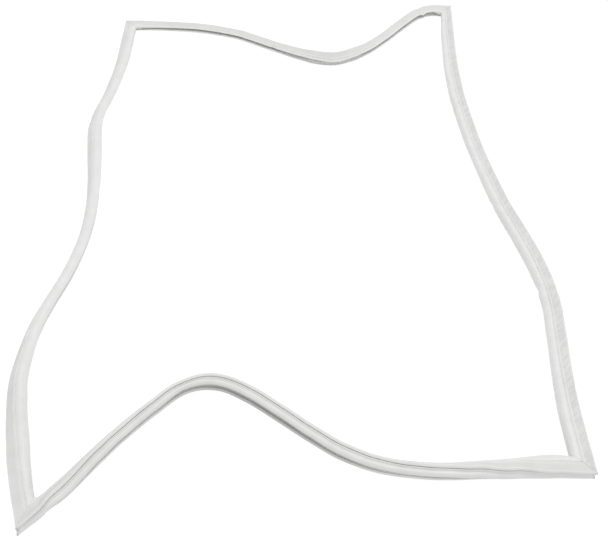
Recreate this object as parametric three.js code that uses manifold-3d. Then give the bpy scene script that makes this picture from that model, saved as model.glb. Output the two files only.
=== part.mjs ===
// Refrigerator door gasket: one soft white extrusion welded into a closed loop, lying slack with its face up.
// Millimetres, +Z up. The loop runs near side, right side, far side, left side, anticlockwise seen from above.
import * as THREE from 'three';
import { mergeVertices } from 'three/addons/utils/BufferGeometryUtils.js';
import Module from 'manifold-3d';

const wasm = await Module();
wasm.setup();

// Lay of the slack loop: the rectangle its corners started from, and how far each corner has drifted.
const LAY_WIDTH = 602;
const LAY_LENGTH = 969;
const CORNERS = {
  near_left: { side: [-1, -1], drift: [24, -34] },
  near_right: { side: [1, -1], drift: [18, 24] },
  far_right: { side: [1, 1], drift: [-10.5, 27] },
  far_left: { side: [-1, 1], drift: [-12.5, -25] },
};

// Foot of the section: a flat base with an arrow-shaped dart under it. Widths run across the section.
const BASE_INNER = 7.5;
const BASE_OUTER = 10.7;
const BASE_THICKNESS = 2;
const BASE_FLOOR = 1.1;
const BASE_CHAMFER_WIDTH = 1.9;
const BASE_CHAMFER_HEIGHT = 1.7;
const DART_DEPTH = 4.2;
const DART_STEM_WIDTH = 2.2;
const DART_BARB_WIDTH = 5.6;
const DART_BARB_DEPTH = 1.9;
const DART_TIP_WIDTH = 1;
const DART_BARB_LIFT = 0.2;

// Bellows between base and face: folds on both sides round a closed air chamber. The flanks and the chamber
// are given as [across, share of the bellows height].
const BELLOWS_HEIGHT = 10.3;
const OUTER_FLANK = [
  [11.3, 0.175], [11.2, 0.34], [10.2, 0.5], [9.4, 0.63], [9.7, 0.71],
  [10.8, 0.79], [10.9, 0.89], [10, 0.935], [8.8, 0.95], [8.8, 0.99],
];
const INNER_FLANK = [[-2.6, 0.93], [-5.2, 0.64], [-3.2, 0.36], [-4, 0.12]];
const AIR_CHAMBER_START = -4;
const AIR_CHAMBER_END = 8.2;
const AIR_CHAMBER = [[9.9, 0.19], [9.8, 0.33], [8.1, 0.6], [7.6, 0.88], [-1.4, 0.88], [-4, 0.64], [-2, 0.36]];

// Face: a closed box that holds the magnet strip, a groove beside it, and a thin curled fin.
const MAGNET_WIDTH = 9.1;
const MAGNET_THICKNESS = 1.8;
const MAGNET_CLEARANCE = 0.3;
const MAGNET_END_GAP = 22;
const BOX_START = 0.6;
const BOX_SIDE_WALL = 1.2;
const BOX_WALL = 0.7;
const BOX_EDGE_RADIUS = 0.7;
const BOX_NECK = -0.6;
const FACE_END = -1.2;
const FACE_GROOVE_START = -1.8;
const FACE_GROOVE_END = -2.5;
const FACE_GROOVE_DEPTH = 0.8;
const FIN_START = -2.9;
const FIN_START_DEPTH = 0.1;
const FIN_REACH = 11.5;
const FIN_DROP = 12;

// Air vents through the base, the bellows and the floor of the magnet box.
const VENT_DIAMETER = 1.8;
const VENT_OFFSET = 3.9;
const VENT_SIDES = 8;
const VENT_SHARE_OF_SIDE = 0.5;
const VENT_MARGIN = 0.5;

// The curl of the fin: share of its reach, share of its drop, and what is added across and up.
const FIN_OUTSIDE = [[0.5, 0, 0, 0], [0.74, 0.08, 0, 0], [0.92, 0.3, 0, 0], [1, 0.62, 0, 0], [1, 1, 0, 0]];
const FIN_INSIDE = [
  [1, 1, 1.1, 0], [1, 0.62, 1.1, 0], [0.92, 0.3, 1, -0.5],
  [0.74, 0.08, 0.3, -1.1], [0.5, 0, 0, -1.2], [0.2, 0, 0, -1.8],
];

// Way points of each side: share of the straight line between its corners, how far the loop lies outward
// of that line, roll in degrees with the outer edge going up, share of the bellows height that is left,
// share of the fin reach and share of the fin drop. A side is laid through its way points.
const SIDES = [
  {
    name: 'near', from: 'near_left', to: 'near_right', steps: 25,
    way: [
      [0, 0, 10, 0.9, 1, 1], [0.055, -23.5, 42, 0.88, 1, 1], [0.12, -64, 54, 0.8, 1, 1],
      [0.155, -85.5, 56, 0.74, 1, 1], [0.217, -118, 60, 0.74, 1, 1], [0.278, -143.5, 68, 0.74, 1, 1],
      [0.34, -143.5, 74, 0.76, 1, 1], [0.397, -123.5, 78, 0.8, 1, 1], [0.454, -94.5, 78, 0.78, 1, 1],
      [0.508, -66, 74, 0.78, 1, 1], [0.563, -40, 70, 0.82, 1, 1], [0.622, -22, 64, 0.82, 1, 1],
      [0.68, -12, 60, 0.78, 1, 1], [0.743, -6, 56, 0.8, 1, 1], [0.8, -4.5, 46, 0.85, 1, 1],
      [0.87, -3, 30, 0.95, 1.1, 1], [0.94, -3, 6, 1, 1.2, 1], [1, 0, 0, 1, 1, 1],
    ],
  },
  {
    name: 'right', from: 'near_right', to: 'far_right', steps: 20,
    way: [
      [0, 0, 0, 1, 1, 1], [0.085, 3.5, 0, 1, 1, 1], [0.16, 14.3, 10, 0.85, 1, 1],
      [0.2, 20.3, 14, 0.82, 1.05, 1], [0.24, 24.4, 14, 0.8, 1.03, 1], [0.285, 23, 12, 0.8, 1, 1],
      [0.333, 16, 8, 0.8, 1, 1], [0.385, 5, 2, 0.8, 1, 1], [0.44, -6, 0, 0.78, 0.95, 0.95],
      [0.54, -18, 0, 0.78, 0.9, 0.9], [0.61, -22.5, 0, 0.78, 0.95, 0.95], [0.68, -24.5, 2, 0.8, 1, 1],
      [0.72, -23.5, 8, 0.8, 1.08, 1], [0.81, -18.6, 12, 0.8, 1.12, 1], [0.9, -9.4, 16, 0.8, 1.12, 1],
      [1, 0, 12, 0.6, 0.8, 0.6],
    ],
  },
  {
    name: 'far', from: 'far_right', to: 'far_left', steps: 21,
    way: [
      [0, 0, 12, 0.6, 0.8, 0.6], [0.05, 4.5, 10, 0.5, 0.6, 0.25], [0.1, -8, 8, 0.4, 0.55, 0.2],
      [0.164, -46, 5, 0.3, 0.55, 0.2], [0.224, -85, 5, 0.27, 0.55, 0.2],
      [0.285, -117.5, 14, 0.35, 0.55, 0.2], [0.34, -136.5, 34, 0.95, 0.55, 0.2],
      [0.39, -146, 40, 1.15, 0.6, 0.2], [0.44, -139, 30, 0.9, 0.55, 0.2],
      [0.485, -126, 14, 0.45, 0.55, 0.2], [0.557, -97.5, 5, 0.28, 0.55, 0.2],
      [0.63, -65, 3, 0.25, 0.55, 0.2], [0.68, -45.5, 3, 0.25, 0.55, 0.2],
      [0.785, -20.5, 3, 0.25, 0.55, 0.2], [0.91, -5.5, 3, 0.25, 0.6, 0.25], [1, 0, 0, 0.4, 0.85, 0.5],
    ],
  },
  {
    name: 'left', from: 'far_left', to: 'near_left', steps: 22,
    way: [
      [0, 0, 0, 0.4, 0.85, 0.5], [0.11, 0, -30, 0.4, 0.95, 0.85], [0.17, 3.5, -36, 0.4, 0.95, 0.85],
      [0.23, 10.5, -40, 0.4, 0.95, 0.9], [0.275, 18.5, -42, 0.42, 0.95, 0.9],
      [0.32, 20.5, -38, 0.45, 0.95, 0.9], [0.38, 13, -38, 0.45, 0.9, 0.95],
      [0.44, 4, -48, 0.45, 0.85, 0.95], [0.5, -2, -58, 0.45, 0.85, 0.95],
      [0.556, -2.5, -60, 0.45, 0.9, 0.95], [0.607, 3, -58, 0.45, 0.95, 1],
      [0.656, 13, -56, 0.5, 1, 1.05], [0.7, 26, -55, 0.5, 1, 1.05], [0.745, 36.5, -50, 0.5, 1, 1],
      [0.81, 41, -40, 0.52, 0.95, 0.95], [0.856, 35.5, -30, 0.6, 0.95, 0.95],
      [0.92, 22, -10, 0.78, 1, 0.95], [0.96, 13, 5, 0.85, 1, 1], [1, 0, 10, 0.9, 1, 1],
    ],
  },
];

const CHAMBER_WIDTH = MAGNET_WIDTH + 2 * MAGNET_CLEARANCE;
const CHAMBER_HEIGHT = MAGNET_THICKNESS + 2 * MAGNET_CLEARANCE;
const BOX_END = BOX_START + CHAMBER_WIDTH + BOX_SIDE_WALL;
const BOX_HEIGHT = CHAMBER_HEIGHT + 2 * BOX_WALL;
const UP = new THREE.Vector3(0, 0, 1);

const white_soft_pvc = new THREE.MeshStandardMaterial({ color: 0xe3e3e1, roughness: 0.42, metalness: 0 });
const magnet_compound = new THREE.MeshStandardMaterial({ color: 0x3b3936, roughness: 0.7, metalness: 0.1 });

// Section outlines, as [across, height] with across growing outward and height 0 at the base's lower face.

function dartOutline() {
  const stem = DART_STEM_WIDTH / 2;
  const barb = DART_BARB_WIDTH / 2;
  const tip = DART_TIP_WIDTH / 2;
  const shoulder = DART_BARB_LIFT - DART_BARB_DEPTH;
  return [
    [-stem, 0], [-stem, shoulder], [-barb, -DART_BARB_DEPTH], [-tip, -DART_DEPTH],
    [tip, -DART_DEPTH], [barb, -DART_BARB_DEPTH], [stem, shoulder], [stem, 0],
  ];
}

function boxFloorHeight(bellows) {
  return BASE_THICKNESS + bellows;
}

function topHeight(bellows) {
  return boxFloorHeight(bellows) + BOX_HEIGHT;
}

function bellowsHeightAt(bellows, share) {
  return BASE_THICKNESS + share * bellows;
}

function flankOutline(flank, bellows) {
  return flank.map(([across, share]) => [across, bellowsHeightAt(bellows, share)]);
}

function outerSideOutline(bellows) {
  return [
    [BASE_OUTER - BASE_CHAMFER_WIDTH, 0],
    [BASE_OUTER, BASE_CHAMFER_HEIGHT],
    ...flankOutline(OUTER_FLANK, bellows),
  ];
}

function faceOutline(bellows) {
  const floor = boxFloorHeight(bellows);
  const top = topHeight(bellows);
  return [
    [BOX_END - BOX_EDGE_RADIUS, floor],
    [BOX_END, floor + BOX_EDGE_RADIUS],
    [BOX_END, top - BOX_EDGE_RADIUS],
    [BOX_END - BOX_EDGE_RADIUS, top],
    [FACE_END, top],
    [FACE_GROOVE_START, top - FACE_GROOVE_DEPTH],
    [FACE_GROOVE_END, top - FACE_GROOVE_DEPTH],
  ];
}

function finOutline(bellows, reach, drop) {
  const top = topHeight(bellows);
  const point = ([out, down, across, up]) => [across - out * reach, top - down * drop + up];
  return [[FIN_START, top - FIN_START_DEPTH], ...FIN_OUTSIDE.map(point), ...FIN_INSIDE.map(point)];
}

function innerSideOutline(bellows) {
  return [
    [BOX_NECK, boxFloorHeight(bellows)],
    ...flankOutline(INNER_FLANK, bellows),
    [-BASE_INNER, BASE_THICKNESS],
  ];
}

function frameOutline({ bellows, reach, drop }) {
  return [
    [-BASE_INNER, 0],
    ...dartOutline(),
    ...outerSideOutline(bellows),
    ...faceOutline(bellows),
    ...finOutline(bellows, reach, drop),
    ...innerSideOutline(bellows),
  ];
}

function airChamberOutline(bellows) {
  return [
    [AIR_CHAMBER_START, BASE_FLOOR],
    [AIR_CHAMBER_END, BASE_FLOOR],
    ...flankOutline(AIR_CHAMBER, bellows),
  ];
}

function rectangle(left, bottom, width, height) {
  return [[left, bottom], [left + width, bottom], [left + width, bottom + height], [left, bottom + height]];
}

function magnetChamberOutline(bellows) {
  return rectangle(BOX_START, boxFloorHeight(bellows) + BOX_WALL, CHAMBER_WIDTH, CHAMBER_HEIGHT);
}

function magnetOutline(bellows) {
  const left = BOX_START + MAGNET_CLEARANCE;
  const bottom = boxFloorHeight(bellows) + BOX_WALL + MAGNET_CLEARANCE;
  return rectangle(left, bottom, MAGNET_WIDTH, MAGNET_THICKNESS);
}

// Lay of the loop: stations along each side, with their place, heading, roll and state of the section.

function cornerPoint(name) {
  const { side, drift } = CORNERS[name];
  return new THREE.Vector2(side[0] * LAY_WIDTH / 2 + drift[0], side[1] * LAY_LENGTH / 2 + drift[1]);
}

function outwardOf(heading) {
  return new THREE.Vector2(heading.y, -heading.x);
}

function sideCurve(side) {
  const start = cornerPoint(side.from);
  const chord = cornerPoint(side.to).sub(start);
  const outward = outwardOf(chord.clone().normalize());
  const points = side.way.map(([share, aside]) => {
    const place = start.clone().addScaledVector(chord, share).addScaledVector(outward, aside);
    return new THREE.Vector3(place.x, place.y, 0);
  });
  return new THREE.CatmullRomCurve3(points, false, 'catmullrom', 0.5);
}

function sectionStateAt(side, t) {
  const last = side.way.length - 1;
  const index = Math.min(Math.floor(t * last), last - 1);
  const ease = THREE.MathUtils.smoothstep(t * last - index, 0, 1);
  const between = (column) => THREE.MathUtils.lerp(side.way[index][column], side.way[index + 1][column], ease);
  return {
    roll: THREE.MathUtils.degToRad(between(2)),
    bellows: BELLOWS_HEIGHT * between(3),
    reach: FIN_REACH * between(4),
    drop: FIN_DROP * between(5),
  };
}

function headingAt(curve, t) {
  const tangent = curve.getTangent(t);
  return new THREE.Vector2(tangent.x, tangent.y).normalize();
}

function stationAt(side, curve, t) {
  const place = curve.getPoint(t);
  return { place, heading: headingAt(curve, t), widen: 1, ...sectionStateAt(side, t) };
}

function mitreStation(side, curve, previousCurve) {
  const arriving = headingAt(previousCurve, 1);
  const leaving = headingAt(curve, 0);
  const heading = arriving.clone().add(leaving).normalize();
  return { ...stationAt(side, curve, 0), heading, widen: 1 / heading.dot(leaving) };
}

function sideStations(index) {
  const side = SIDES[index];
  const curve = sideCurve(side);
  const previousCurve = sideCurve(SIDES[(index + SIDES.length - 1) % SIDES.length]);
  const first = curve.getUtoTmapping(0, MAGNET_END_GAP);
  const last = curve.getUtoTmapping(0, curve.getLength() - MAGNET_END_GAP);
  const stations = [mitreStation(side, curve, previousCurve)];
  for (let step = 0; step <= side.steps; step += 1) {
    stations.push(stationAt(side, curve, THREE.MathUtils.lerp(first, last, step / side.steps)));
  }
  return stations;
}

// A station's own axes: across points outward and up with the roll, height points away from the floor.

function stationFrame(station) {
  const { roll, place, widen } = station;
  const flat = outwardOf(station.heading);
  const outward = new THREE.Vector3(flat.x, flat.y, 0);
  const rise = ([across, height]) => across * Math.sin(roll) + height * Math.cos(roll);
  const lowest = Math.min(...frameOutline(station).map(rise));
  const pointAt = ([across, height]) => {
    const sideways = across * Math.cos(roll) - height * Math.sin(roll);
    return place.clone()
      .addScaledVector(outward, sideways * widen)
      .addScaledVector(UP, rise([across, height]) - lowest);
  };
  return { outward, pointAt };
}

function ring(station, outline) {
  const { pointAt } = stationFrame(station);
  return outline.map(pointAt);
}

// Meshes: rings joined into a closed tube, or into a bar with two flat ends.

function ringFaces(rings, closed) {
  const size = rings[0].length;
  const spans = closed ? rings.length : rings.length - 1;
  const faces = [];
  for (let span = 0; span < spans; span += 1) {
    const here = span * size;
    const there = ((span + 1) % rings.length) * size;
    for (let edge = 0; edge < size; edge += 1) {
      const next = (edge + 1) % size;
      faces.push(here + edge, there + edge, there + next, here + edge, there + next, here + next);
    }
  }
  return faces;
}

function endFaces(rings) {
  const size = rings[0].length;
  const last = (rings.length - 1) * size;
  const faces = [];
  for (let corner = 1; corner < size - 1; corner += 1) {
    faces.push(0, corner, corner + 1, last, last + corner + 1, last + corner);
  }
  return faces;
}

function sweptGeometry(rings, closed) {
  const geometry = new THREE.BufferGeometry().setFromPoints(rings.flat());
  const faces = ringFaces(rings, closed);
  geometry.setIndex(closed ? faces : [...faces, ...endFaces(rings)]);
  return geometry;
}

function toSolid(geometry) {
  const bare = geometry.clone();
  bare.deleteAttribute('normal');
  bare.deleteAttribute('uv');
  const merged = mergeVertices(bare);
  return new wasm.Manifold(new wasm.Mesh({
    numProp: 3,
    vertProperties: new Float32Array(merged.attributes.position.array),
    triVerts: new Uint32Array(merged.index.array),
  }));
}

function toGeometry(solid) {
  const mesh = solid.getMesh();
  const geometry = new THREE.BufferGeometry();
  geometry.setAttribute('position', new THREE.BufferAttribute(new Float32Array(mesh.vertProperties), 3));
  geometry.setIndex([...mesh.triVerts]);
  geometry.computeVertexNormals();
  return geometry;
}

function loopSolid(stations, outlineOf) {
  return toSolid(sweptGeometry(stations.map((station) => ring(station, outlineOf(station))), true));
}

function ventSolid(stations) {
  const station = stations[Math.round(stations.length * VENT_SHARE_OF_SIDE)];
  const { pointAt } = stationFrame(station);
  const bottom = pointAt([VENT_OFFSET, -VENT_MARGIN]);
  const top = pointAt([VENT_OFFSET, boxFloorHeight(station.bellows) + BOX_WALL + MAGNET_CLEARANCE]);
  const axis = top.clone().sub(bottom);
  const vent = new THREE.CylinderGeometry(VENT_DIAMETER / 2, VENT_DIAMETER / 2, axis.length(), VENT_SIDES);
  const turn = new THREE.Quaternion().setFromUnitVectors(new THREE.Vector3(0, 1, 0), axis.clone().normalize());
  vent.applyQuaternion(turn);
  const middle = bottom.add(top).multiplyScalar(0.5);
  vent.translate(middle.x, middle.y, middle.z);
  return toSolid(vent);
}

function gasketFrameMesh(stationsOfSides) {
  const loop = stationsOfSides.flat();
  const hollows = [
    loopSolid(loop, (station) => airChamberOutline(station.bellows)),
    loopSolid(loop, (station) => magnetChamberOutline(station.bellows)),
    ...stationsOfSides.map(ventSolid),
  ];
  const body = loopSolid(loop, frameOutline);
  const solid = hollows.reduce((rest, cut) => rest.subtract(cut), body);
  const frame = new THREE.Mesh(toGeometry(solid), white_soft_pvc);
  frame.name = 'gasket_frame';
  return frame;
}

// A magnet strip ends square, short of the two mitres of its side.

function magnetStripMesh(name, stations) {
  const rings = stations.slice(1).map((station) => ring(station, magnetOutline(station.bellows)));
  const strip = new THREE.Mesh(sweptGeometry(rings, false), magnet_compound);
  strip.geometry.computeVertexNormals();
  strip.name = `magnet_strip_${name}`;
  return strip;
}

function buildGasket() {
  const stationsOfSides = SIDES.map((_, index) => sideStations(index));
  const gasket = new THREE.Group();
  gasket.add(gasketFrameMesh(stationsOfSides));
  SIDES.forEach((side, index) => gasket.add(magnetStripMesh(side.name, stationsOfSides[index])));
  const centre = new THREE.Box3().setFromObject(gasket).getCenter(new THREE.Vector3());
  gasket.position.set(-centre.x, -centre.y, 0);
  gasket.updateMatrixWorld(true);
  return gasket;
}

export default buildGasket();
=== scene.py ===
"""Looks of a slack refrigerator door gasket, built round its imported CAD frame.

The section and the lay are worked out in millimetres and turned into metres where a mesh is made.
"""
import logging
import math
from dataclasses import dataclass, field
from enum import Enum

import bpy
import numpy as np
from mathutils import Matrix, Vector


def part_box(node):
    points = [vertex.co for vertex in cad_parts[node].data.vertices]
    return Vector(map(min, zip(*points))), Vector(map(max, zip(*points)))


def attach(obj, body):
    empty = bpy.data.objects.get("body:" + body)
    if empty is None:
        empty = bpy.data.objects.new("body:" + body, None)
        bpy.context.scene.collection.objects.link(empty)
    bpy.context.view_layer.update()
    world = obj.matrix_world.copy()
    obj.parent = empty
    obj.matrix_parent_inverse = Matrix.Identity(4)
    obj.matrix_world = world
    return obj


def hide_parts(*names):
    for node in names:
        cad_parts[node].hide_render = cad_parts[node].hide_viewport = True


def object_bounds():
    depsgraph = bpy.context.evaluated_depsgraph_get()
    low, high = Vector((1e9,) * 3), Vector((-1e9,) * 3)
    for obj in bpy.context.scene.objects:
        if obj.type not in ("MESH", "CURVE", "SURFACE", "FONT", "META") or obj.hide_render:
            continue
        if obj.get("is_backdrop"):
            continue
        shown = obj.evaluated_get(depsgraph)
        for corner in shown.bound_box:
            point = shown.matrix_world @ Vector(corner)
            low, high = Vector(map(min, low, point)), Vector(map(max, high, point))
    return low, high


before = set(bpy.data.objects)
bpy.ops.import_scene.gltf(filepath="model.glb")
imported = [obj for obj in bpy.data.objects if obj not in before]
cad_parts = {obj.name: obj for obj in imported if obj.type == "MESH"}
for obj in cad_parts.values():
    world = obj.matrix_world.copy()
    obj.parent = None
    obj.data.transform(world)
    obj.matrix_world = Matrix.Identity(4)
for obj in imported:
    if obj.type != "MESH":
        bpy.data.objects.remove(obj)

LOG = logging.getLogger("gasket")
CAD_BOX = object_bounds()
BODY = "root"
FRAME_NODE = "gasket_frame"
MM = 0.001


class Side(Enum):
    """The four welded lengths of the loop, in the order in which they follow each other."""

    NEAR = "near"
    RIGHT = "right"
    FAR = "far"
    LEFT = "left"


class Corner(Enum):
    """The corners of the loop, as the signs of x and y."""

    NEAR_LEFT = (-1, -1)
    NEAR_RIGHT = (1, -1)
    FAR_RIGHT = (1, 1)
    FAR_LEFT = (-1, 1)


class Slot(Enum):
    """Material slots of the record."""

    PVC = "white_soft_pvc"
    MAGNET = "magnet_compound"


# Node trees


@dataclass(frozen=True)
class Field:
    """A number or vector socket in a tree, on which arithmetic is written as Python."""

    maker: "TreeMaker"
    socket: bpy.types.NodeSocket

    def math(self, operation: str, *others: "Field | float") -> "Field":
        """Adds a Math node.

        Args:
            operation: The node's operation.
            others: Its further operands.

        Returns:
            The node's value.
        """
        inputs = dict(enumerate((self, *others)))
        return self.maker.field("ShaderNodeMath", {"operation": operation}, inputs, "Value")

    def __add__(self, other: "Field | float") -> "Field":
        """This plus other."""
        return self.math("ADD", other)

    __radd__ = __add__

    def __sub__(self, other: "Field | float") -> "Field":
        """This minus other."""
        return self.math("SUBTRACT", other)

    def __rsub__(self, other: float) -> "Field":
        """A number minus this."""
        return self.maker.number(other).math("SUBTRACT", self)

    def __mul__(self, other: "Field | float") -> "Field":
        """This times other."""
        return self.math("MULTIPLY", other)

    __rmul__ = __mul__

    def __truediv__(self, other: "Field | float") -> "Field":
        """This over other."""
        return self.math("DIVIDE", other)

    def vector(self, operation: str, other: "Field | tuple[float, float, float]") -> "Field":
        """Adds a Vector Math node of two vectors."""
        inputs = {0: self, 1: other}
        return self.maker.field("ShaderNodeVectorMath", {"operation": operation}, inputs, "Vector")

    def scaled(self, factor: "Field | float") -> "Field":
        """This vector times a number."""
        settings = {"operation": "SCALE"}
        return self.maker.field("ShaderNodeVectorMath", settings, {0: self, "Scale": factor}, "Vector")

    def ramp(self, low: float, high: float, to_low: float = 0.0, to_high: float = 1.0) -> "Field":
        """Maps low..high smoothly to to_low..to_high and holds it outside them."""
        settings = {"interpolation_type": "SMOOTHSTEP"}
        inputs = {"Value": self, 1: low, 2: high, 3: to_low, 4: to_high}
        return self.maker.field("ShaderNodeMapRange", settings, inputs, 0)


class TreeMaker:
    """Adds nodes to a shader or geometry tree."""

    def __init__(self, tree: bpy.types.NodeTree) -> None:
        """Starts with an empty tree."""
        self.tree = tree
        tree.nodes.clear()

    def node(self, kind: str, settings: dict | None = None, inputs: dict | None = None) -> bpy.types.Node:
        """Adds a node.

        Args:
            kind: The node's type name.
            settings: Its properties, set first.
            inputs: Values or fields for its sockets, by name or number.

        Returns:
            The node.
        """
        node = self.tree.nodes.new(kind)
        for name, value in (settings or {}).items():
            setattr(node, name, value)
        for key, value in (inputs or {}).items():
            socket = node.inputs[key]
            if isinstance(value, Field):
                self.tree.links.new(value.socket, socket)
            else:
                socket.default_value = value
        return node

    def field(self, kind: str, settings: dict | None, inputs: dict | None, output: str | int) -> Field:
        """Adds a node and returns one of its outputs."""
        return Field(self, self.node(kind, settings, inputs).outputs[output])

    def number(self, value: float) -> Field:
        """A constant as a field."""
        node = self.tree.nodes.new("ShaderNodeValue")
        node.outputs[0].default_value = value
        return Field(self, node.outputs[0])

    def xyz(self, x: "Field | float", y: "Field | float", z: "Field | float") -> Field:
        """A vector from three numbers."""
        return self.field("ShaderNodeCombineXYZ", None, {0: x, 1: y, 2: z}, 0)

    def noise(self, place: Field, detail: float = 2.0) -> Field:
        """Noise from 0 to 1 with a period of about one unit of place."""
        inputs = {"Vector": place, "Scale": 1.0, "Detail": detail}
        return self.field("ShaderNodeTexNoise", None, inputs, 0)


class GeometryTree(TreeMaker):
    """A Geometry Nodes tree with named inputs, applied once to a piece's base mesh."""

    def __init__(self, name: str, sizes: dict[str, float]) -> None:
        """Makes the tree and its interface.

        Args:
            name: The tree's name.
            sizes: Its float inputs and their values.
        """
        super().__init__(bpy.data.node_groups.new(name, "GeometryNodeTree"))
        face = self.tree.interface
        self.sizes = sizes
        face.new_socket("Geometry", in_out="INPUT", socket_type="NodeSocketGeometry")
        self.items = {
            size: face.new_socket(size, in_out="INPUT", socket_type="NodeSocketFloat") for size in sizes
        }
        self.finish_item = face.new_socket("Finish", in_out="INPUT", socket_type="NodeSocketMaterial")
        face.new_socket("Geometry", in_out="OUTPUT", socket_type="NodeSocketGeometry")
        self.entry = self.node("NodeGroupInput")

    def input(self, name: str) -> Field:
        """One of the tree's inputs."""
        return Field(self, self.entry.outputs[name])

    def attribute(self, name: str, data_type: str = "FLOAT") -> Field:
        """A named attribute of the base mesh."""
        settings = {"data_type": data_type}
        return self.field("GeometryNodeInputNamedAttribute", settings, {"Name": name}, "Attribute")

    def close(self, geometry: Field) -> None:
        """Ends the tree in Realize Instances and Set Material."""
        whole = self.field("GeometryNodeRealizeInstances", None, {"Geometry": geometry}, 0)
        inputs = {"Geometry": whole, "Material": self.input("Finish")}
        dressed = self.field("GeometryNodeSetMaterial", None, inputs, 0)
        self.node("NodeGroupOutput", None, {0: dressed})

    def apply(self, name: str, base: bpy.types.Mesh, finish: bpy.types.Material) -> bpy.types.Object:
        """Runs the tree on a base mesh and keeps the result as a plain mesh.

        Args:
            name: The piece's name.
            base: The mesh that the tree starts from.
            finish: The piece's material.

        Returns:
            The finished object, without a modifier.
        """
        piece = bpy.data.objects.new(name, base)
        bpy.context.scene.collection.objects.link(piece)
        modifier = piece.modifiers.new(self.tree.name, "NODES")
        modifier.node_group = self.tree
        for size, item in self.items.items():
            modifier[item.identifier] = self.sizes[size]
        modifier[self.finish_item.identifier] = finish
        graph = bpy.context.evaluated_depsgraph_get()
        mesh = bpy.data.meshes.new_from_object(piece.evaluated_get(graph), depsgraph=graph)
        piece.modifiers.remove(modifier)
        piece.data = mesh
        mesh.name = name
        mesh.polygons.foreach_set("use_smooth", [True] * len(mesh.polygons))
        return piece


# Finishes


def new_material(name: str) -> tuple[bpy.types.Material, TreeMaker]:
    """Makes an empty node material and the maker of its tree."""
    material = bpy.data.materials.new(name)
    material.use_nodes = True
    return material, TreeMaker(material.node_tree)


@dataclass(frozen=True)
class SoftPvcFinish:
    """White plasticised PVC, extruded: satin, with fine die lines along it and faint clouding, and painted
    shade in its hollows and creases.

    Lengths are in metres. A ramp is (from low, from high, to low, to high).
    """

    name: str = Slot.PVC.value
    bright: tuple[float, float, float, float] = (0.80, 0.80, 0.795, 1.0)
    dull: tuple[float, float, float, float] = (0.64, 0.64, 0.635, 1.0)
    # painted shade: the dark tone that the inner folds, the slit under the rim and the underside are mixed
    # towards
    painted_shade: tuple[float, float, float, float] = (0.34, 0.34, 0.335, 1.0)
    roughness: float = 0.40
    roughness_spread: float = 0.12
    ior: float = 1.53
    cloud_size: float = 0.018
    cloud_detail: float = 3.0
    cloud_ramp: tuple[float, float, float, float] = (0.35, 0.7, 0.0, 0.2)
    die_line_width: float = 0.0006
    die_line_stretch: float = 60.0
    die_line_depth: float = 0.00006
    die_line_ramp: tuple[float, float, float, float] = (0.4, 0.7, 0.0, 0.1)
    crease_width: float = 0.0042
    crease_length: float = 0.012
    crease_lean: float = 1.1
    crease_depth: float = 0.0009
    crease_slice: float = 5.0
    # painted shade in the creases: how far their colour is darkened towards dull
    crease_shade_ramp: tuple[float, float, float, float] = (0.42, 0.68, 0.0, 0.75)
    pore_size: float = 0.0012
    pore_depth: float = 0.00003
    fine_detail: float = 2.0
    veil_share: float = 0.5
    relief_strength: float = 0.6

    def material(self) -> bpy.types.Material:
        """Builds the material."""
        material, maker = new_material(self.name)
        place = maker.field("ShaderNodeTexCoord", None, None, "Object")
        along = maker.field("ShaderNodeAttribute", {"attribute_name": "along"}, None, "Fac")
        around = maker.field("ShaderNodeAttribute", {"attribute_name": "around"}, None, "Fac")
        shaded = maker.field("ShaderNodeAttribute", {"attribute_name": "shaded"}, None, "Fac")
        veil = maker.field("ShaderNodeAttribute", {"attribute_name": "veil"}, None, "Fac")
        crumple = maker.field("ShaderNodeAttribute", {"attribute_name": "crumple"}, None, "Fac")
        leaning = (along + around * self.crease_lean) / self.crease_width
        slant = maker.xyz(leaning, around / self.crease_length, self.crease_slice)
        crease = maker.noise(slant, self.fine_detail) * crumple
        cloud = maker.noise(place.scaled(1 / self.cloud_size), self.cloud_detail)
        die_line_length = self.die_line_stretch * self.die_line_width
        lines = maker.noise(maker.xyz(around / self.die_line_width, along / die_line_length, 0.0))
        pores = maker.noise(place.scaled(1 / self.pore_size), self.fine_detail)
        # real tone: clouding, die lines and the magnet showing through the skin
        shade = cloud.ramp(*self.cloud_ramp) + lines.ramp(*self.die_line_ramp) + veil * self.veil_share
        # painted shade in the creases, added to the real tone
        tone_and_crease_shade = shade + crease.ramp(*self.crease_shade_ramp)
        settings = {"data_type": "RGBA", "clamp_factor": True}
        clean = maker.field("ShaderNodeMix", settings, {0: tone_and_crease_shade, 6: self.bright, 7: self.dull}, 2)
        # painted shade: mixes towards the dark tone as far as the shaded attribute says light is scarce
        tone = maker.field("ShaderNodeMix", settings, {0: shaded, 6: clean, 7: self.painted_shade}, 2)
        gloss = cloud * self.roughness_spread + (self.roughness - self.roughness_spread / 2)
        height = lines * self.die_line_depth + pores * self.pore_depth + crease * self.crease_depth
        relief = {"Height": height, "Distance": 1.0, "Strength": self.relief_strength}
        normal = maker.field("ShaderNodeBump", None, relief, "Normal")
        inputs = {"Base Color": tone, "Roughness": gloss, "Normal": normal, "IOR": self.ior}
        surface = maker.field("ShaderNodeBsdfPrincipled", None, inputs, 0)
        maker.node("ShaderNodeOutputMaterial", None, {"Surface": surface})
        return material


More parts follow.
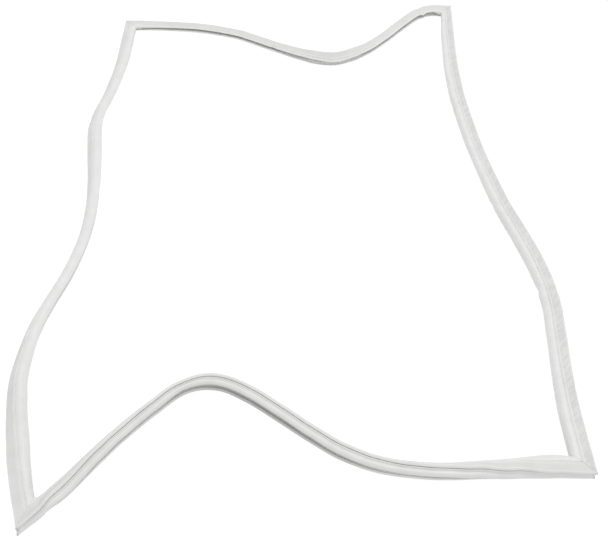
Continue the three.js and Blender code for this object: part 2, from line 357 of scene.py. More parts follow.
@dataclass(frozen=True)
class MagnetFinish:
    """Flexible magnet compound: dark, dull and slightly grainy."""

    name: str = Slot.MAGNET.value + "_grain"
    dark: tuple[float, float, float, float] = (0.035, 0.033, 0.031, 1.0)
    light: tuple[float, float, float, float] = (0.075, 0.071, 0.066, 1.0)
    grain_size: float = 0.0011
    grain_depth: float = 0.00005
    grain_detail: float = 4.0
    roughness: float = 0.7

    def material(self) -> bpy.types.Material:
        """Builds the material."""
        material, maker = new_material(self.name)
        place = maker.field("ShaderNodeTexCoord", None, None, "Object")
        grain = maker.noise(place.scaled(1 / self.grain_size), self.grain_detail)
        settings = {"data_type": "RGBA"}
        tone = maker.field("ShaderNodeMix", settings, {0: grain, 6: self.dark, 7: self.light}, 2)
        relief = {"Height": grain * self.grain_depth, "Distance": 1.0}
        normal = maker.field("ShaderNodeBump", None, relief, "Normal")
        inputs = {"Base Color": tone, "Roughness": self.roughness, "Normal": normal}
        surface = maker.field("ShaderNodeBsdfPrincipled", None, inputs, 0)
        maker.node("ShaderNodeOutputMaterial", None, {"Surface": surface})
        return material


# Section


Point = tuple[float, float]
FinPoint = tuple[float, float, float, float]


@dataclass(frozen=True)
class Section:
    """The gasket's section in millimetres: across grows outward, height from the base's lower face.

    An outline point is (across, share of the fin reach, height, share of the bellows height, share of
    the fin drop that is taken from its height). A flank point is (across, share of the bellows
    height), a ridge point (across, height above the face), and a fin point (share of the fin reach,
    share of the fin drop, across, height above the face).
    """

    base_inner: float = 7.5
    base_outer: float = 10.7
    base_thickness: float = 2.0
    base_chamfer_width: float = 1.9
    base_chamfer_height: float = 1.7
    dart_depth: float = 4.2
    dart_stem: float = 2.2
    dart_barb: float = 5.6
    dart_barb_depth: float = 1.9
    dart_tip: float = 1.0
    dart_barb_lift: float = 0.2
    bellows_height: float = 10.3
    outer_flank: tuple[Point, ...] = (
        (11.3, 0.175), (11.2, 0.34), (10.2, 0.5), (9.4, 0.63), (9.7, 0.71),
        (10.8, 0.79), (10.9, 0.89), (10, 0.935), (8.8, 0.95), (8.8, 0.99),
    )
    inner_flank: tuple[Point, ...] = ((-2.6, 0.93), (-5.2, 0.64), (-3.2, 0.36), (-4, 0.12))
    box_end: float = 11.5
    box_neck: float = -0.6
    box_height: float = 3.8
    box_edge: float = 0.7
    ridge: tuple[Point, ...] = ((-0.2, 0), (-0.5, 0.5), (-1.2, 0.5), (-1.8, -0.8), (-2.5, -0.8))
    fin_start: Point = (-2.9, -0.1)
    fin_reach: float = 11.5
    fin_drop: float = 12.0
    fin_outside: tuple[FinPoint, ...] = (
        (0.5, 0, 0, 0), (0.74, 0.08, 0, 0), (0.92, 0.3, 0, 0), (1, 0.62, 0, 0), (1, 1, 0, 0),
    )
    fin_inside: tuple[FinPoint, ...] = (
        (1, 1, 1.1, 0), (1, 0.62, 1.1, 0), (0.92, 0.3, 1, -0.5),
        (0.74, 0.08, 0.3, -1.1), (0.5, 0, 0, -1.2), (0.2, 0, 0, -1.8),
    )
    magnet_start: float = 0.9
    magnet_width: float = 9.1
    magnet_thickness: float = 1.8
    magnet_cover: float = 1.0
    edge_round: float = 0.45
    longest_cut: float = 0.4
    longest_facet: float = 1.3
    fold_levels: Point = (0.02, 0.995)
    hollow_edge: float = -0.3
    hollow_level: float = 0.2
    hollow_fade: float = 0.3
    gap_level: float = 0.93
    veil_start: float = 0.2
    veil_end: float = 10.6
    veil_fade: float = 0.8
    flat_within: float = 0.1
    box_share: float = 0.99
    stiff_skin: float = 0.12

    @property
    def top(self) -> float:
        """Height of the face above a bellows of no height."""
        return self.base_thickness + self.box_height

    def foot(self) -> list[tuple]:
        """The base's inner end and the arrow-shaped dart under it."""
        stem, barb, tip = self.dart_stem / 2, self.dart_barb / 2, self.dart_tip / 2
        shoulder = self.dart_barb_lift - self.dart_barb_depth
        half = [(-stem, 0), (-stem, shoulder), (-barb, -self.dart_barb_depth), (-tip, -self.dart_depth)]
        other = [(-across, height) for across, height in reversed(half)]
        return [(across, 0, height, 0, 0) for across, height in [(-self.base_inner, 0), *half, *other]]

    def flank(self, points: tuple) -> list[tuple]:
        """Points of the bellows, given as (across, share of the bellows height)."""
        return [(across, 0, self.base_thickness, share, 0) for across, share in points]

    def outer_side(self) -> list[tuple]:
        """The base's outer end and the outer folds of the bellows."""
        return [
            (self.base_outer - self.base_chamfer_width, 0, 0, 0, 0),
            (self.base_outer, 0, self.base_chamfer_height, 0, 0),
            *self.flank(self.outer_flank),
        ]

    def face(self) -> list[tuple]:
        """The magnet box, from its lower outer edge to the ridge and groove beside the fin."""
        edge = self.box_end - self.box_edge
        return [
            (edge, 0, self.base_thickness, 1, 0),
            (self.box_end, 0, self.base_thickness + self.box_edge, 1, 0),
            (self.box_end, 0, self.top - self.box_edge, 1, 0),
            (edge, 0, self.top, 1, 0),
            *((across, 0, self.top + up, 1, 0) for across, up in self.ridge),
        ]

    def fin(self) -> list[tuple]:
        """The curled fin, out along its upper side and back along its lower one."""
        start, lift = self.fin_start
        curl = [*self.fin_outside, *self.fin_inside]
        return [
            (start, 0, self.top + lift, 1, 0),
            *((across, -out, self.top + up, 1, down) for out, down, across, up in curl),
        ]

    def inner_side(self) -> list[tuple]:
        """The inner folds of the bellows, down to the base."""
        neck = (self.box_neck, 0, self.base_thickness, 1, 0)
        return [neck, *self.flank(self.inner_flank), (-self.base_inner, 0, self.base_thickness, 0, 0)]

    def at(self, points: np.ndarray, bellows: float, reach: float, drop: float) -> np.ndarray:
        """Across and height of outline points for one state of the section."""
        across = points[:, 0] + points[:, 1] * reach
        height = points[:, 2] + points[:, 3] * bellows - points[:, 4] * drop
        return np.stack([across, height], axis=1)

    def relaxed(self, points: np.ndarray) -> np.ndarray:
        """Across and height of outline points in the section that nothing presses."""
        return self.at(points, self.bellows_height, self.fin_reach, self.fin_drop)

    def outline(self) -> np.ndarray:
        """The whole outline with rounded edges and short facets."""
        way = [*self.foot(), *self.outer_side(), *self.face(), *self.fin(), *self.inner_side()]
        corners = np.array(way, float)
        flat = self.relaxed(corners)
        points: list[np.ndarray] = []
        for index, corner in enumerate(corners):
            before, after = index - 1, (index + 1) % len(corners)
            cut_in = min(self.longest_cut, self.edge_round / np.linalg.norm(flat[before] - flat[index]))
            cut_out = min(self.longest_cut, self.edge_round / np.linalg.norm(flat[after] - flat[index]))
            enter = corner + (corners[before] - corner) * cut_in
            leave = corner + (corners[after] - corner) * cut_out
            points += [enter, (enter + 2 * corner + leave) / 4, leave]
        fine: list[np.ndarray] = []
        for index, point in enumerate(points):
            after = points[(index + 1) % len(points)]
            pair = self.relaxed(np.array([point, after]))
            parts = max(1, math.ceil(np.linalg.norm(pair[1] - pair[0]) / self.longest_facet))
            fine += [point + (after - point) * part / parts for part in range(parts)]
        return np.array(fine)

    def zones(self, points: np.ndarray) -> dict[str, np.ndarray]:
        """Weights from 0 to 1 of each outline point.

        Args:
            points: The outline.

        Returns:
            hollow: the inner folds; gap: the slit under the rim; under: the base's lower face, all three
                weights of painted shade; veil: the thin skin over the magnet strip; skin: how freely the
                wall buckles.
        """
        across, height = self.relaxed(points).T
        level = (height - self.base_thickness) / self.bellows_height
        lowest, highest = self.fold_levels
        within = (level > lowest) & (level < highest) & (points[:, 1] == 0)
        # painted shade in the inner folds, growing with the height up the fold
        painted_shade = np.clip((level - self.hollow_level) / self.hollow_fade, 0, 1)
        from_fin = np.clip((across - self.veil_start) / self.veil_fade, 0, 1)
        from_rim = np.clip((self.veil_end - across) / self.veil_fade, 0, 1)
        face_top = height > self.top + self.bellows_height - self.flat_within
        return {
            "hollow": within * (across < self.hollow_edge) * painted_shade,
            "gap": (within & (across > 0) & (level > self.gap_level)).astype(float),
            "under": (height < self.flat_within).astype(float),
            "veil": from_fin * from_rim * face_top,
            "skin": np.where(points[:, 3] > self.box_share, 1.0, self.stiff_skin),
        }

    def magnet(self) -> np.ndarray:
        """The outline of the magnet strip in its chamber."""
        high = self.top - self.magnet_cover
        low, end = high - self.magnet_thickness, self.magnet_start + self.magnet_width
        corners = [(self.magnet_start, low), (end, low), (end, high), (self.magnet_start, high)]
        return np.array([(across, 0, height, 1, 0) for across, height in corners], float)


# Lay


@dataclass(frozen=True)
class Fold:
    """A local kink of one side, where the slack extrusion has buckled.

    Attributes:
        share: Where it is, as a share of the side.
        spread: Its half length in millimetres.
        squeeze: Share of the bellows height that it takes.
        kick: Roll that it adds, in degrees.
        curl: Share of the fin reach that it takes.
    """

    share: float
    spread: float
    squeeze: float = 0.0
    kick: float = 0.0
    curl: float = 0.0


@dataclass(frozen=True)
class SideLay:
    """How one side lies: its corners, its way points and its folds.

    A way point is (share of the straight line between the corners, how far the side lies outward of
    that line in millimetres, roll in degrees with the outer edge going up, share of the bellows
    height that is left, share of the fin reach, share of the fin drop).
    """

    side: Side
    start: Corner
    end: Corner
    way: tuple[tuple[float, float, float, float, float, float], ...]
    folds: tuple[Fold, ...] = ()


NEAR_LAY = SideLay(Side.NEAR, Corner.NEAR_LEFT, Corner.NEAR_RIGHT, (
    (0, 0, 10, 0.9, 1, 1), (0.055, -23.5, 42, 0.88, 1, 1), (0.12, -64, 54, 0.8, 1, 1),
    (0.155, -85.5, 56, 0.74, 1, 1), (0.217, -118, 60, 0.74, 1, 1), (0.278, -143.5, 68, 0.74, 1, 1),
    (0.34, -143.5, 74, 0.76, 1, 1), (0.397, -123.5, 78, 0.8, 1, 1), (0.454, -94.5, 78, 0.78, 1, 1),
    (0.508, -66, 74, 0.78, 1, 1), (0.563, -40, 70, 0.82, 1, 1), (0.622, -22, 64, 0.82, 1, 1),
    (0.68, -12, 60, 0.78, 1, 1), (0.743, -6, 56, 0.8, 1, 1), (0.8, -4.5, 46, 0.85, 1, 1),
    (0.87, -3, 30, 0.95, 1.1, 1), (0.94, -3, 6, 1, 1.2, 1), (1, 0, 0, 1, 1, 1),
), (
    Fold(0.035, 9, squeeze=0.25, kick=6),
    Fold(0.315, 16, squeeze=0.22, curl=0.1),
))
RIGHT_LAY = SideLay(Side.RIGHT, Corner.NEAR_RIGHT, Corner.FAR_RIGHT, (
    (0, 0, 0, 1, 1, 1), (0.085, 3.5, 0, 1, 1, 1), (0.16, 14.3, 10, 0.85, 1, 1),
    (0.2, 20.3, 14, 0.82, 1.05, 1), (0.24, 24.4, 14, 0.8, 1.03, 1), (0.285, 23, 12, 0.8, 1, 1),
    (0.333, 16, 8, 0.8, 1, 1), (0.385, 5, 2, 0.8, 1, 1), (0.44, -6, 0, 0.78, 0.95, 0.95),
    (0.54, -18, 0, 0.78, 0.9, 0.9), (0.61, -22.5, 0, 0.78, 0.95, 0.95), (0.68, -24.5, 2, 0.8, 1, 1),
    (0.72, -23.5, 8, 0.8, 1.08, 1), (0.81, -18.6, 12, 0.8, 1.12, 1), (0.9, -9.4, 16, 0.8, 1.12, 1),
    (1, 0, 12, 0.6, 0.8, 0.6),
), (
    Fold(0.268, 6, squeeze=0.08, curl=0.14),
    Fold(0.44, 5, curl=0.06),
))
FAR_LAY = SideLay(Side.FAR, Corner.FAR_RIGHT, Corner.FAR_LEFT, (
    (0, 0, 12, 0.6, 0.8, 0.6), (0.05, 4.5, 10, 0.5, 0.6, 0.25), (0.1, -8, 8, 0.4, 0.55, 0.2),
    (0.164, -46, 5, 0.3, 0.55, 0.2), (0.224, -85, 5, 0.27, 0.55, 0.2),
    (0.285, -117.5, 14, 0.35, 0.55, 0.2), (0.34, -136.5, 34, 0.95, 0.55, 0.2),
    (0.39, -146, 40, 1.15, 0.6, 0.2), (0.44, -139, 30, 0.9, 0.55, 0.2),
    (0.485, -126, 14, 0.45, 0.55, 0.2), (0.557, -97.5, 5, 0.28, 0.55, 0.2),
    (0.63, -65, 3, 0.25, 0.55, 0.2), (0.68, -45.5, 3, 0.25, 0.55, 0.2),
    (0.785, -20.5, 3, 0.25, 0.55, 0.2), (0.91, -5.5, 3, 0.25, 0.6, 0.25), (1, 0, 0, 0.4, 0.85, 0.5),
), (
    Fold(0.075, 6, squeeze=0.3, kick=8),
    Fold(0.585, 5, squeeze=0.2, curl=0.25),
))
LEFT_LAY = SideLay(Side.LEFT, Corner.FAR_LEFT, Corner.NEAR_LEFT, (
    (0, 0, 0, 0.4, 0.85, 0.5), (0.11, 0, -30, 0.4, 0.95, 0.85), (0.17, 3.5, -36, 0.4, 0.95, 0.85),
    (0.23, 10.5, -40, 0.4, 0.95, 0.9), (0.275, 18.5, -42, 0.42, 0.95, 0.9),
    (0.32, 20.5, -38, 0.45, 0.95, 0.9), (0.38, 13, -38, 0.45, 0.9, 0.95),
    (0.44, 4, -48, 0.45, 0.85, 0.95), (0.5, -2, -58, 0.45, 0.85, 0.95),
    (0.556, -2.5, -60, 0.45, 0.9, 0.95), (0.607, 3, -58, 0.45, 0.95, 1), (0.656, 13, -56, 0.5, 1, 1.05),
    (0.7, 26, -55, 0.5, 1, 1.05), (0.745, 36.5, -50, 0.5, 1, 1), (0.81, 41, -40, 0.52, 0.95, 0.95),
    (0.856, 35.5, -30, 0.6, 0.95, 0.95), (0.92, 22, -10, 0.78, 1, 0.95), (0.96, 13, 5, 0.85, 1, 1),
    (1, 0, 10, 0.9, 1, 1),
), (
    Fold(0.295, 5, squeeze=0.2, curl=0.2),
))


class SideCurve:
    """The line that one side follows, through its way points, with lengths along it."""

    SAMPLES = 400

    def __init__(self, start: np.ndarray, end: np.ndarray, lay: SideLay) -> None:
        """Lays the curve from start to end.

        Args:
            start: Corner that the side starts at.
            end: Corner that it ends at.
            lay: Its way points and folds.
        """
        chord = end - start
        outward = np.array([chord[1], -chord[0]]) / np.linalg.norm(chord)
        self.way = np.array(lay.way, float)
        self.folds = lay.folds
        points = start + self.way[:, :1] * chord + self.way[:, 1:2] * outward
        self.points = np.vstack([2 * points[0] - points[1], points, 2 * points[-1] - points[-2]])
        self.shares = np.linspace(0, 1, self.SAMPLES + 1)
        places = np.array([self.place(share) for share in self.shares])
        steps = np.linalg.norm(np.diff(places, axis=0), axis=1)
        self.lengths = np.concatenate([[0], np.cumsum(steps)])

    def segment(self, share: float) -> tuple[int, float]:
        """The way point before a share of the curve, and how far it is to the next one."""
        last = len(self.way) - 1
        index = min(int(share * last), last - 1)
        return index, share * last - index

    def place(self, share: float) -> np.ndarray:
        """Where the curve is at a share of its way points."""
        index, weight = self.segment(share)
        before, start, end, after = self.points[index:index + 4]
        leave, arrive = (end - before) / 2, (after - start) / 2
        bend = 2 * (start - end) + leave + arrive
        lean = 3 * (end - start) - 2 * leave - arrive
        return start + leave * weight + lean * weight**2 + bend * weight**3

    def heading(self, share: float) -> np.ndarray:
        """Unit direction of the curve."""
        step = 1e-4
        low, high = max(share - step, 0), min(share + step, 1)
        direction = self.place(high) - self.place(low)
        return direction / np.linalg.norm(direction)

    def state(self, share: float, distance: float) -> np.ndarray:
        """Roll in radians, and the shares of bellows height, fin reach and fin drop."""
        index, weight = self.segment(share)
        ease = weight * weight * (3 - 2 * weight)
        roll, bellows, reach, drop = self.way[index, 2:] * (1 - ease) + self.way[index + 1, 2:] * ease
        for fold in self.folds:
            away = (distance - fold.share * self.lengths[-1]) / fold.spread
            near = math.exp(-away * away)
            bellows *= 1 - fold.squeeze * near
            roll += fold.kick * near
            reach *= 1 - fold.curl * near
        return np.array([math.radians(roll), bellows, reach, drop])


@dataclass
class Ring:
    """One station of a side: where the section stands and how it is turned and pressed.

    Lengths are in millimetres, the roll is in radians.

    Attributes:
        skew: How far the section leans along the side, as a share of how far out a point lies.
        lowest: Height of its lowest point before it is set down on the ground.
        along: Distance from the start of the side.
        calm: Share of the wrinkles that are left here, 0 at a mitre.
    """

    place: np.ndarray
    heading: np.ndarray
    roll: float
    bellows: float
    reach: float
    drop: float
    skew: float
    lowest: float
    along: float
    calm: float

    def ground(self, flat: np.ndarray) -> np.ndarray:
        """Where points of the section, given as (across, height), lie in the lay."""
        sideways = flat[:, :1] * math.cos(self.roll) - flat[:, 1:] * math.sin(self.roll)
        outward = np.array([self.heading[1], -self.heading[0]])
        return self.place + sideways * (outward + self.heading * self.skew)

    def rise(self, flat: np.ndarray) -> np.ndarray:
        """How high such points stand above the ground."""
        return flat[:, 0] * math.sin(self.roll) + flat[:, 1] * math.cos(self.roll) - self.lowest


@dataclass
class Lay:
    """The slack loop: corners, side curves and stations, in millimetres."""

    section: Section
    width: float = 602.0
    length: float = 969.0
    drift: dict[Corner, tuple[float, float]] = field(default_factory=lambda: {
        Corner.NEAR_LEFT: (24, -34),
        Corner.NEAR_RIGHT: (18, 24),
        Corner.FAR_RIGHT: (-10.5, 27),
        Corner.FAR_LEFT: (-12.5, -25),
    })
    sides: tuple[SideLay, ...] = (NEAR_LAY, RIGHT_LAY, FAR_LAY, LEFT_LAY)
    spacing: float = 1.7
    mitre_length: float = 22.0
    calm_length: float = 14.0

    def corner(self, corner: Corner) -> np.ndarray:
        """Where a corner of the loop has come to lie."""
        half = np.array([self.width, self.length]) / 2
        return np.array(corner.value) * half + np.array(self.drift[corner])

    def curves(self) -> list[SideCurve]:
        """The curves of the sides, in order."""
        return [SideCurve(self.corner(lay.start), self.corner(lay.end), lay) for lay in self.sides]

    def rings(self, curves: list[SideCurve], index: int, points: np.ndarray) -> list[Ring]:
        """Stations of one side, from mitre to mitre.

        Args:
            curves: The curves of all sides.
            index: Which side.
            points: The section's outline.

        Returns:
            The rings in order along the side.
        """
        curve = curves[index]
        before, after = curves[index - 1], curves[(index + 1) % len(curves)]
        start_turn = self.half_turn(before.heading(1), curve.heading(0))
        end_turn = self.half_turn(curve.heading(1), after.heading(0))
        total = curve.lengths[-1]
        rings = []
        for distance in np.linspace(0, total, math.ceil(total / self.spacing) + 1):
            share = float(np.interp(distance, curve.lengths, curve.shares))
            roll, bellows, reach, drop = curve.state(share, distance)
            bellows *= self.section.bellows_height
            reach *= self.section.fin_reach
            drop *= self.section.fin_drop
            flat = self.section.at(points, bellows, reach, drop)
            rise = flat[:, 0] * math.sin(roll) + flat[:, 1] * math.cos(roll)
            to_start = max(0.0, 1 - distance / self.mitre_length)
            to_end = max(0.0, 1 - (total - distance) / self.mitre_length)
            skew = math.tan(end_turn) * to_end - math.tan(start_turn) * to_start
            calm = min(1.0, min(distance, total - distance) / self.calm_length)
            rings.append(Ring(
                curve.place(share), curve.heading(share), roll, bellows, reach, drop, skew,
                rise.min(), distance, calm,
            ))
        return rings

    @staticmethod
    def half_turn(arriving: np.ndarray, leaving: np.ndarray) -> float:
        """Half the angle that the loop turns through at a corner, in radians."""
        cross = arriving[0] * leaving[1] - arriving[1] * leaving[0]
        return math.atan2(cross, arriving @ leaving) / 2


# Pieces


@dataclass
class SideTexture:
    """How uneven and how crumpled one side's surface is, and how much shade is painted into its hollows.

    Depths and lengths are in metres, crumple and shades are shares. Painted shade darkens the base's
    lower face where the roll, in degrees, passes under_roll.
    """

    ripple_depth: float = 0.00025
    ripple_length: float = 0.022
    crease_depth: float = 0.00022
    crease_length: float = 0.005
    crease_lean: float = 0.8
    seed: float = 1.0
    crumple: float = 0.0
    # painted shade in the inner folds, the slit under the rim and on the base's lower face
    hollow_shade: float = 0.35
    gap_shade: float = 0.1
    under_shade: float = 0.55
    under_roll: float = 60.0
    under_roll_spread: float = 16.0


@dataclass(frozen=True)
class Profile:
    """An outline that is swept along a side, and what it makes.

    Attributes:
        name: First part of the piece's name.
        node: First part of the name of the frame's node that it replaces.
        slot: Its material slot; not used.
        points: The outline.
        zones: Weights of the outline's points, stored on the piece.
    """

    name: str
    node: str
    slot: Slot
    points: np.ndarray
    zones: dict[str, np.ndarray]


@dataclass
class ExtrudedSide:
    """One length of an outline between two mitres, swept by Geometry Nodes from its stations."""

    side: Side
    profile: Profile
    rings: list[Ring]
    section: Section
    centre: np.ndarray
    texture: SideTexture

    RING_LENGTHS = ("bellows", "reach", "drop", "lowest", "along")
    DETAIL = 1.0
    NOISE_MIDDLE = 0.5
    CREASE_STRETCH = 4.0
    CREASE_SEED_STEP = 7.0
    CREASE_HALF_WIDTH = 0.12
    PATCH_LENGTH = 0.07
    PATCH_SLICE = 3.0
    PATCH_RAMP = (0.42, 0.62)

    @property
    def name(self) -> str:
        """The piece's name."""
        return f"{self.profile.name}_{self.side.value}"

    def base_mesh(self) -> bpy.types.Mesh:
        """The sweep's net: its faces, and the attributes that place its points later on."""
        points = self.profile.points
        size, count = len(points), len(self.rings)
        ids = np.arange(size * count).reshape(count, size)
        here, there = ids[:-1], ids[1:]
        quads = np.stack([here, there, np.roll(there, -1, 1), np.roll(here, -1, 1)], axis=-1)
        faces = [*quads.reshape(-1, 4).tolist(), ids[0].tolist(), ids[-1][::-1].tolist()]
        mesh = bpy.data.meshes.new(f"net_{self.name}")
        mesh.from_pydata(np.zeros((size * count, 3)).tolist(), [], faces)
        flat = self.section.relaxed(points)
        edges = np.linalg.norm(np.diff(flat, axis=0), axis=1)
        around = np.concatenate([[0], np.cumsum(edges)]) * MM
        per_point = {
            "across": points[:, 0] * MM, "across_by_reach": points[:, 1],
            "height": points[:, 2] * MM, "height_by_bellows": points[:, 3],
            "height_by_drop": points[:, 4], "around": around, **self.profile.zones,
        }
        units = {"roll": 1, "skew": 1, "calm": 1, **dict.fromkeys(self.RING_LENGTHS, MM)}
        per_ring = {
            name: [getattr(ring, name) * unit for ring in self.rings] for name, unit in units.items()
        }
        for name, values in per_point.items():
            self.store(mesh, name, np.tile(values, count))
        # painted shade, which the material turns into a darker colour
        self.store(mesh, "shaded", self.shading().ravel())
        # crease weight on the magnet face, for the crease relief and for the painted shade in the creases
        self.store(mesh, "crumple", np.tile(self.profile.zones["veil"] * self.texture.crumple, count))
        for name, values in per_ring.items():
            self.store(mesh, name, np.repeat(values, size))
        self.store_vectors(mesh, "place", [(ring.place - self.centre) * MM for ring in self.rings], size)
        self.store_vectors(mesh, "heading", [ring.heading for ring in self.rings], size)
        return mesh

    def shading(self) -> np.ndarray:
        """How little light reaches each point, painted as darker colour: one row for each ring, from 0 to 1.
        """
        zones, texture = self.profile.zones, self.texture
        rolls = np.degrees([ring.roll for ring in self.rings])
        tilt = np.clip((rolls - texture.under_roll) / texture.under_roll_spread, 0, 1)
        even = zones["hollow"] * texture.hollow_shade + zones["gap"] * texture.gap_shade
        return even[None, :] + np.outer(tilt, zones["under"]) * texture.under_shade

    @staticmethod
    def store(mesh: bpy.types.Mesh, name: str, values: np.ndarray) -> None:
        """Stores one number for each point of the net."""
        mesh.attributes.new(name, "FLOAT", "POINT").data.foreach_set("value", np.asarray(values, np.float32))

    @staticmethod
    def store_vectors(mesh: bpy.types.Mesh, name: str, rows: list[np.ndarray], size: int) -> None:
        """Stores one flat vector for each ring of the net."""
        flat = np.hstack([np.array(rows), np.zeros((len(rows), 1))])
        data = np.repeat(flat, size, axis=0).astype(np.float32).ravel()
        mesh.attributes.new(name, "FLOAT_VECTOR", "POINT").data.foreach_set("vector", data)

    def sweep_tree(self) -> GeometryTree:
        """Places the net's points on the rolled, pressed section, then wrinkles the skin."""
        tree = GeometryTree(f"sweep_{self.name}", {
            "Ripple Depth": self.texture.ripple_depth,
            "Ripple Length": self.texture.ripple_length,
            "Crease Depth": self.texture.crease_depth,
            "Crease Length": self.texture.crease_length,
            "Crease Lean": self.texture.crease_lean,
            "Seed": self.texture.seed,
        })
        geometry = tree.field("GeometryNodeSetPosition", None, {
            "Geometry": tree.input("Geometry"), "Position": self.swept_place(tree),
        }, 0)
        normal = tree.field("GeometryNodeInputNormal", None, None, 0)
        offset = normal.scaled(self.wrinkle(tree) * tree.attribute("calm") * tree.attribute("skin"))
        wrinkled = tree.field("GeometryNodeSetPosition", None, {"Geometry": geometry, "Offset": offset}, 0)
        tree.close(wrinkled)
        return tree

    @staticmethod
    def swept_place(tree: GeometryTree) -> Field:
        """Where each point of the net goes on the section at its station."""
        across = tree.attribute("across") + tree.attribute("across_by_reach") * tree.attribute("reach")
        pressed = tree.attribute("height") + tree.attribute("height_by_bellows") * tree.attribute("bellows")
        height = pressed - tree.attribute("height_by_drop") * tree.attribute("drop")
        roll = tree.attribute("roll")
        cosine, sine = roll.math("COSINE"), roll.math("SINE")
        sideways = across * cosine - height * sine
        rise = across * sine + height * cosine - tree.attribute("lowest")
        heading = tree.attribute("heading", "FLOAT_VECTOR")
        outward = heading.vector("CROSS_PRODUCT", (0.0, 0.0, 1.0))
        place = tree.attribute("place", "FLOAT_VECTOR").vector("ADD", outward.scaled(sideways))
        skewed = place.vector("ADD", heading.scaled(sideways * tree.attribute("skew")))
        return skewed.vector("ADD", tree.xyz(0.0, 0.0, rise))

    @classmethod
    def wrinkle(cls, tree: GeometryTree) -> Field:
        """How far the skin stands out: long soft ripples and short slanting creases."""
        along, around, seed = tree.attribute("along"), tree.attribute("around"), tree.input("Seed")
        ripple_length, crease_length = tree.input("Ripple Length"), tree.input("Crease Length")
        ripple = tree.noise(tree.xyz(along / ripple_length, around / ripple_length, seed), cls.DETAIL)
        leaning = (along + around * tree.input("Crease Lean")) / crease_length
        stretched = around / (crease_length * cls.CREASE_STRETCH)
        crease = tree.noise(tree.xyz(leaning, stretched, seed + cls.CREASE_SEED_STEP), cls.DETAIL)
        ridge = (crease - cls.NOISE_MIDDLE).math("ABSOLUTE")
        sharp = ridge.ramp(0.0, cls.CREASE_HALF_WIDTH, -1.0, 0.0)
        spots = tree.noise(tree.xyz(along / cls.PATCH_LENGTH, seed, cls.PATCH_SLICE), cls.DETAIL)
        creased = sharp * spots.ramp(*cls.PATCH_RAMP) * tree.input("Crease Depth")
        return (ripple - cls.NOISE_MIDDLE) * 2.0 * tree.input("Ripple Depth") + creased

    def build(self, finish: bpy.types.Material) -> bpy.types.Object:
        """Builds the piece and lets it ride on the part's body."""
        piece = self.sweep_tree().apply(self.name, self.base_mesh(), finish)
        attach(piece, BODY)
        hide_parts(self.profile.node)
        return piece


@dataclass
class WeldBead:
    """The thin line of melted material that stands proud along one mitre."""

    corner: Corner
    ring: Ring
    section: Section
    centre: np.ndarray
    bead_radius: float = 0.00035
    bead_facets: int = 8

    def path_mesh(self) -> bpy.types.Mesh:
        """The outline of the mitre as a closed line of edges."""
        flat = self.section.at(self.section.outline(), self.ring.bellows, self.ring.reach, self.ring.drop)
        ground = self.ring.ground(flat) - self.centre
        places = np.hstack([ground, self.ring.rise(flat)[:, None]]) * MM
        places[:, 2] = np.maximum(places[:, 2], self.bead_radius)
        mesh = bpy.data.meshes.new(f"mitre_{self.corner.name.lower()}")
        count = len(places)
        mesh.from_pydata(places.tolist(), [(index, (index + 1) % count) for index in range(count)], [])
        return mesh

    def build(self, finish: bpy.types.Material) -> bpy.types.Object:
        """Sweeps the bead round the mitre."""
        name = f"weld_{self.corner.name.lower()}"
        tree = GeometryTree(name, {"Bead Radius": self.bead_radius})
        line = tree.field("GeometryNodeMeshToCurve", None, {"Mesh": tree.input("Geometry")}, 0)
        circle = {"Resolution": self.bead_facets, "Radius": tree.input("Bead Radius")}
        profile = tree.field("GeometryNodeCurvePrimitiveCircle", {"mode": "RADIUS"}, circle, 0)
        sweep = {"Curve": line, "Profile Curve": profile}
        tree.close(tree.field("GeometryNodeCurveToMesh", None, sweep, 0))
        piece = tree.apply(name, self.path_mesh(), finish)
        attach(piece, BODY)
        return piece


@dataclass
class Gasket:
    """The whole loop: four extruded sides, the weld at each corner and the magnet strips inside."""

    section: Section = field(default_factory=Section)
    magnet_end_gap: float = 22.0
    textures: dict[Side, SideTexture] = field(default_factory=lambda: {
        Side.NEAR: SideTexture(ripple_depth=0.00012, crease_depth=0.00006, seed=1.0),
        Side.RIGHT: SideTexture(crease_depth=0.0005, seed=2.0, crumple=1.0),
        Side.FAR: SideTexture(seed=3.0, hollow_shade=1.0, crumple=0.25),
        Side.LEFT: SideTexture(crease_lean=-0.6, seed=4.0, crumple=0.5),
    })

    def centre_offset(self, lay: Lay, rings: list[list[Ring]], points: np.ndarray) -> np.ndarray:
        """Where the CAD frame's own centre lies in the lay, in millimetres.

        Args:
            lay: The slack loop.
            rings: The rings of all sides.
            points: The section's outline.

        Returns:
            The lay's point that the frame puts at the middle of its box.
        """
        ground = []
        for ring in (ring for side in rings for ring in side):
            flat = lay.section.at(points, ring.bellows, ring.reach, ring.drop)
            ground.append(ring.ground(flat))
        places = np.vstack(ground)
        low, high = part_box(FRAME_NODE)
        frame_centre = (np.array(low[:2]) + np.array(high[:2])) / 2 / MM
        return (places.min(0) + places.max(0)) / 2 - frame_centre

    def build(self) -> np.ndarray:
        """Builds all pieces.

        Returns:
            The point of the lay that lies at the frame's origin, in millimetres.
        """
        lay = Lay(self.section)
        points = self.section.outline()
        curves = lay.curves()
        rings = [lay.rings(curves, index, points) for index in range(len(curves))]
        centre = self.centre_offset(lay, rings, points)
        zones = self.section.zones(points)
        skin = Profile("side", FRAME_NODE, Slot.PVC, points, zones)
        bar = self.section.magnet()
        bare = {name: np.zeros(len(bar)) for name in zones}
        pvc, compound = SoftPvcFinish().material(), MagnetFinish().material()
        for side_lay, side_rings in zip(lay.sides, rings):
            side = side_lay.side
            texture = self.textures[side]
            magnet = Profile("magnet", f"magnet_strip_{side.value}", Slot.MAGNET, bar, bare)
            last = side_rings[-1].along - self.magnet_end_gap
            held = [ring for ring in side_rings if self.magnet_end_gap <= ring.along <= last]
            report(ExtrudedSide(side, skin, side_rings, self.section, centre, texture).build(pvc))
            report(ExtrudedSide(side, magnet, held, self.section, centre, texture).build(compound))
            report(WeldBead(side_lay.start, side_rings[0], self.section, centre).build(pvc))
        return centre


# Studio


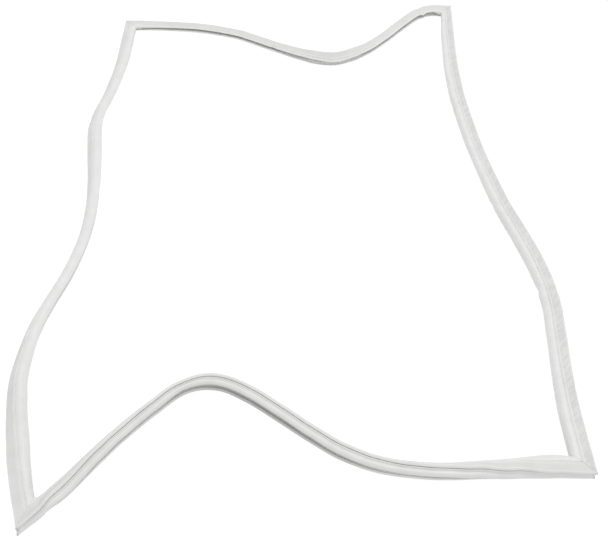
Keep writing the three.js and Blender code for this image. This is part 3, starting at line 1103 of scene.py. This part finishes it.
def shown_rays(maker: TreeMaker) -> Field:
    """Gives 1 for camera, glossy and transmission rays, and 0 for all others."""
    rays = maker.node("ShaderNodeLightPath")
    shown = Field(maker, rays.outputs["Is Camera Ray"])
    for kind in ("Is Glossy Ray", "Is Transmission Ray"):
        shown = shown.math("MAXIMUM", Field(maker, rays.outputs[kind]))
    return shown


@dataclass
class Studio:
    """White floor and surroundings, plain soft light, and a camera at the photograph's angle.

    The camera's place is in millimetres, the rest in metres. Angles are in degrees.
    """

    centre: np.ndarray
    camera_from_lay: tuple[float, float, float] = (14.0, -862.0, 776.0)
    lens: float = 45.3
    pitch_down: float = 48.0
    floor_size: float = 12.0
    world_level: float = 0.8
    key_size: float = 1.6
    key_place: tuple[float, float, float] = (0.5, 0.5, 2.2)
    key_level: float = 0.25
    shadow_share: float = 0.16
    floor_glow: float = 1.12
    floor_grey: float = 0.9

    WHITE = (1, 1, 1, 1)

    def camera(self) -> None:
        """Places the camera."""
        data = bpy.data.cameras.new("camera")
        data.lens = self.lens
        camera = bpy.data.objects.new("camera", data)
        bpy.context.scene.collection.objects.link(camera)
        x, y, height = self.camera_from_lay
        camera.location = ((x - self.centre[0]) * MM, (y - self.centre[1]) * MM, height * MM)
        camera.rotation_euler = (math.radians(90 - self.pitch_down), 0, 0)
        bpy.context.scene.camera = camera

    def floor(self) -> None:
        """Lays a white floor that keeps a faint shadow of the gasket."""
        material, maker = new_material("studio_floor")
        shown = shown_rays(maker)
        grey = (self.floor_grey, self.floor_grey, self.floor_grey, 1)
        plain = maker.field("ShaderNodeBsdfDiffuse", None, {"Color": grey}, 0)
        light = {"Color": self.WHITE, "Strength": self.floor_glow}
        glow = maker.field("ShaderNodeEmission", None, light, 0)
        mix = {0: shown * (1 - self.shadow_share), 1: plain, 2: glow}
        surface = maker.field("ShaderNodeMixShader", None, mix, 0)
        maker.node("ShaderNodeOutputMaterial", None, {"Surface": surface})
        half = self.floor_size / 2
        mesh = bpy.data.meshes.new("floor")
        corners = [(-half, -half, 0), (half, -half, 0), (half, half, 0), (-half, half, 0)]
        mesh.from_pydata(corners, [], [(0, 1, 2, 3)])
        mesh.materials.append(material)
        floor = bpy.data.objects.new("floor", mesh)
        bpy.context.scene.collection.objects.link(floor)
        floor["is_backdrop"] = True

    def world(self) -> None:
        """Surrounds the scene with even light that the camera sees as white."""
        world = bpy.data.worlds.new("studio")
        world.use_nodes = True
        maker = TreeMaker(world.node_tree)
        strength = shown_rays(maker) * (1 - self.world_level) + self.world_level
        inputs = {"Color": self.WHITE, "Strength": strength}
        surface = maker.field("ShaderNodeBackground", None, inputs, 0)
        maker.node("ShaderNodeOutputWorld", None, {"Surface": surface})
        bpy.context.scene.world = world

    def key_light(self) -> None:
        """Hangs a wide soft lamp over the gasket."""
        data = bpy.data.lights.new("key", "AREA")
        data.shape = "DISK"
        data.size = self.key_size
        place = Vector(self.key_place)
        data.energy = self.key_level * math.pi**2 * place.length_squared
        lamp = bpy.data.objects.new("key", data)
        lamp.location = place
        lamp.rotation_euler = place.to_track_quat("Z", "Y").to_euler()
        bpy.context.scene.collection.objects.link(lamp)

    def build(self) -> None:
        """Sets up the whole studio."""
        self.camera()
        self.floor()
        self.world()
        self.key_light()
        bpy.context.scene.view_settings.view_transform = "Standard"


def report(piece: bpy.types.Object) -> None:
    """Logs a finished piece and how many faces it has."""
    LOG.info("%s: %d faces", piece.name, len(piece.data.polygons))


def write_sizes() -> None:
    boxes = {"cad": CAD_BOX, "visual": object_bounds()}
    plain = {name: [list(corner) for corner in box] for name, box in boxes.items()}


def main() -> None:
    """Builds the gasket and its studio."""
    logging.basicConfig(level=logging.INFO, format="%(name)s %(message)s")
    centre = Gasket().build()
    Studio(centre).build()
    write_sizes()


if __name__ == "__main__":
    main()
